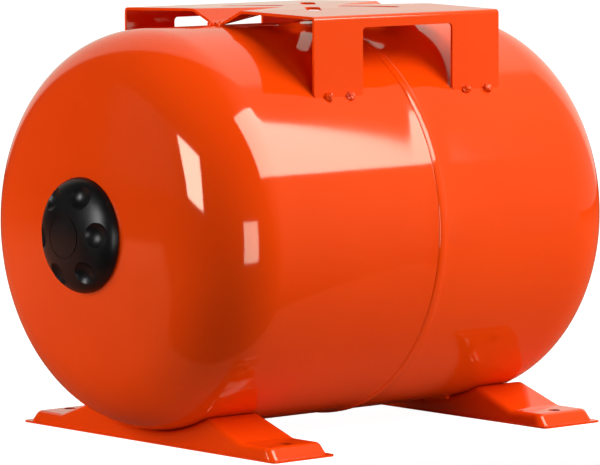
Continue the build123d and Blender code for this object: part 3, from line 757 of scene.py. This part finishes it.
def make_world(stage):
    """Dim room with a white backdrop behind the tank and a pale wall at its water end."""
    world = bpy.data.worlds.new("studio")
    bpy.context.scene.world = world
    world.use_nodes = True
    nodes, links = world.node_tree.nodes, world.node_tree.links
    nodes.clear()
    path = nodes.new("ShaderNodeLightPath")
    place = nodes.new("ShaderNodeTexCoord")
    glows = sum_node(nodes, links, direction_glow(nodes, links, place, *BACKDROP))
    links.new(direction_glow(nodes, links, place, *WATER_END_WALL), glows.inputs[1])
    total = sum_node(nodes, links, glows.outputs["Value"])
    total.inputs[1].default_value = stage.room
    room = background(nodes, ROOM_TONE, 1.0)
    links.new(total.outputs["Value"], room.inputs["Strength"])
    white = background(nodes, WHITE, 1.0).outputs["Background"]
    shown = blend_nodes(nodes, links, path, room.outputs["Background"], white, "Is Camera Ray")
    out = nodes.new("ShaderNodeOutputWorld")
    links.new(shown, out.inputs["Surface"])


def make_softbox(
    name, azimuth, elevation, turn, distance, width, height, radiance, lights, mirrored
):
    """Square lamp that faces the tank's middle from a direction."""
    swing = math.radians(azimuth)
    lift = math.radians(elevation)
    away = Vector((
        math.sin(swing) * math.cos(lift), -math.cos(swing) * math.cos(lift), math.sin(lift),
    ))
    level = Vector((0.0, 0.0, 1.0)).cross(away).normalized()
    upright = away.cross(level)
    roll = math.radians(turn)
    across = level * math.cos(roll) + upright * math.sin(roll)
    along = upright * math.cos(roll) - level * math.sin(roll)
    lamp = bpy.data.lights.new(name, "AREA")
    lamp.shape = "RECTANGLE"
    lamp.size = width
    lamp.size_y = height
    lamp.energy = 4.0 * radiance * width * height
    holder = bpy.data.objects.new(name, lamp)
    bpy.context.scene.collection.objects.link(holder)
    matrix = Matrix((across, along, away)).transposed().to_4x4()
    matrix.translation = AXIS_POINT + away * distance
    holder.matrix_world = matrix
    holder.visible_camera = False
    holder.visible_diffuse = lights
    holder.visible_glossy = mirrored


def make_camera(stage):
    """Camera at the viewing angle, aimed a little in front of the weld."""
    ahead = Vector((
        math.sin(stage.yaw) * math.cos(stage.pitch),
        math.cos(stage.yaw) * math.cos(stage.pitch),
        -math.sin(stage.pitch),
    ))
    level = Vector((math.cos(stage.yaw), -math.sin(stage.yaw), 0.0))
    upright = level.cross(ahead)
    right = level * math.cos(stage.roll) + upright * math.sin(stage.roll)
    up = upright * math.cos(stage.roll) - level * math.sin(stage.roll)
    data = bpy.data.cameras.new("camera")
    data.lens = stage.lens
    data.sensor_width = 36.0
    data.clip_end = 100.0
    camera = bpy.data.objects.new("camera", data)
    bpy.context.scene.collection.objects.link(camera)
    matrix = Matrix((right, up, -ahead)).transposed().to_4x4()
    matrix.translation = CAMERA_TARGET - ahead * stage.distance
    camera.matrix_world = matrix
    bpy.context.scene.camera = camera


# Operators -----------------------------------------------------------------------------------


class TANK_OT_materials(bpy.types.Operator):
    """Make every finish and give each CAD node its own"""

    bl_idname = "tank.materials"
    bl_label = "Make finishes"

    def execute(self, context):
        surface_grain_group()
        enamel_material()
        for name in FINISHES:
            plain_finish(name)
        for part in frame["record"]["subparts"]:
            mesh = frame["nodes"][part["node"]].data
            mesh.materials.clear()
            mesh.materials.append(bpy.data.materials[MATERIAL_OF_SLOT[part["material_slot"]]])
        return {"FINISHED"}


class TANK_OT_shells(bpy.types.Operator):
    """Turn the two drawn cups with the slight rise of their rims at the weld"""

    bl_idname = "tank.shells"
    bl_label = "Turn the cups"

    def execute(self, context):
        shell = context.scene.tank_shell
        front_fall = crown_fall(shell.valve_hole)
        rear_fall = crown_fall(shell.neck_hole)
        make_cup("front_shell", -1, FRONT_LOW.x - front_fall, shell.valve_hole)
        make_cup("rear_shell", 1, REAR_HIGH.x + rear_fall, shell.neck_hole)
        return {"FINISHED"}


class TANK_OT_welds(bpy.types.Operator):
    """Lay the girth bead and the bracket's tack welds"""

    bl_idname = "tank.welds"
    bl_label = "Lay the welds"

    def execute(self, context):
        make_bead()
        make_tacks()
        return {"FINISHED"}


class TANK_OT_stub(bpy.types.Operator):
    """Cut the thread on the water stub"""

    bl_idname = "tank.stub"
    bl_label = "Thread the stub"

    def execute(self, context):
        make_stub()
        return {"FINISHED"}


class TANK_OT_spring(bpy.types.Operator):
    """Coil the spring of the gas valve"""

    bl_idname = "tank.spring"
    bl_label = "Coil the spring"

    def execute(self, context):
        make_spring()
        return {"FINISHED"}


class TANK_OT_stage(bpy.types.Operator):
    """Set the floor, the lights and the camera"""

    bl_idname = "tank.stage"
    bl_label = "Set the stage"

    def execute(self, context):
        stage = context.scene.tank_stage
        make_floor(stage)
        make_world(stage)
        for light in SOFTBOXES:
            make_softbox(*light)
        make_camera(stage)
        context.scene.view_settings.view_transform = "Standard"
        return {"FINISHED"}


class TANK_PT_panel(bpy.types.Panel):
    """Lists the steps in the sidebar"""

    bl_label = "Bladder tank"
    bl_idname = "TANK_PT_panel"
    bl_space_type = "VIEW_3D"
    bl_region_type = "UI"
    bl_category = "Bladder tank"

    def draw(self, context):
        for operator in OPERATORS:
            self.layout.operator(operator.bl_idname)


OPERATORS = (
    TANK_OT_materials, TANK_OT_shells, TANK_OT_welds, TANK_OT_stub, TANK_OT_spring,
    TANK_OT_stage,
)
SETTINGS = (
    PaintSettings, ShellSettings, WeldSettings, StubSettings, SpringSettings, StageSettings,
)
CLASSES = SETTINGS + OPERATORS + (TANK_PT_panel,)


def register():
    """Register the classes and hang the settings on the scene."""
    for new_class in CLASSES:
        bpy.utils.register_class(new_class)
    bpy.types.Scene.tank_paint = bpy.props.PointerProperty(type=PaintSettings)
    bpy.types.Scene.tank_shell = bpy.props.PointerProperty(type=ShellSettings)
    bpy.types.Scene.tank_weld = bpy.props.PointerProperty(type=WeldSettings)
    bpy.types.Scene.tank_stub = bpy.props.PointerProperty(type=StubSettings)
    bpy.types.Scene.tank_spring = bpy.props.PointerProperty(type=SpringSettings)
    bpy.types.Scene.tank_stage = bpy.props.PointerProperty(type=StageSettings)


def unregister():
    """Remove the settings and the classes."""
    del bpy.types.Scene.tank_paint
    del bpy.types.Scene.tank_shell
    del bpy.types.Scene.tank_weld
    del bpy.types.Scene.tank_stub
    del bpy.types.Scene.tank_spring
    del bpy.types.Scene.tank_stage
    for old_class in reversed(CLASSES):
        bpy.utils.unregister_class(old_class)


def main():
    """Build everything in order."""
    register()
    bpy.ops.tank.materials()
    bpy.ops.tank.shells()
    bpy.ops.tank.welds()
    bpy.ops.tank.stub()
    bpy.ops.tank.spring()
    bpy.ops.tank.stage()


if __name__ == "__main__":
    main()
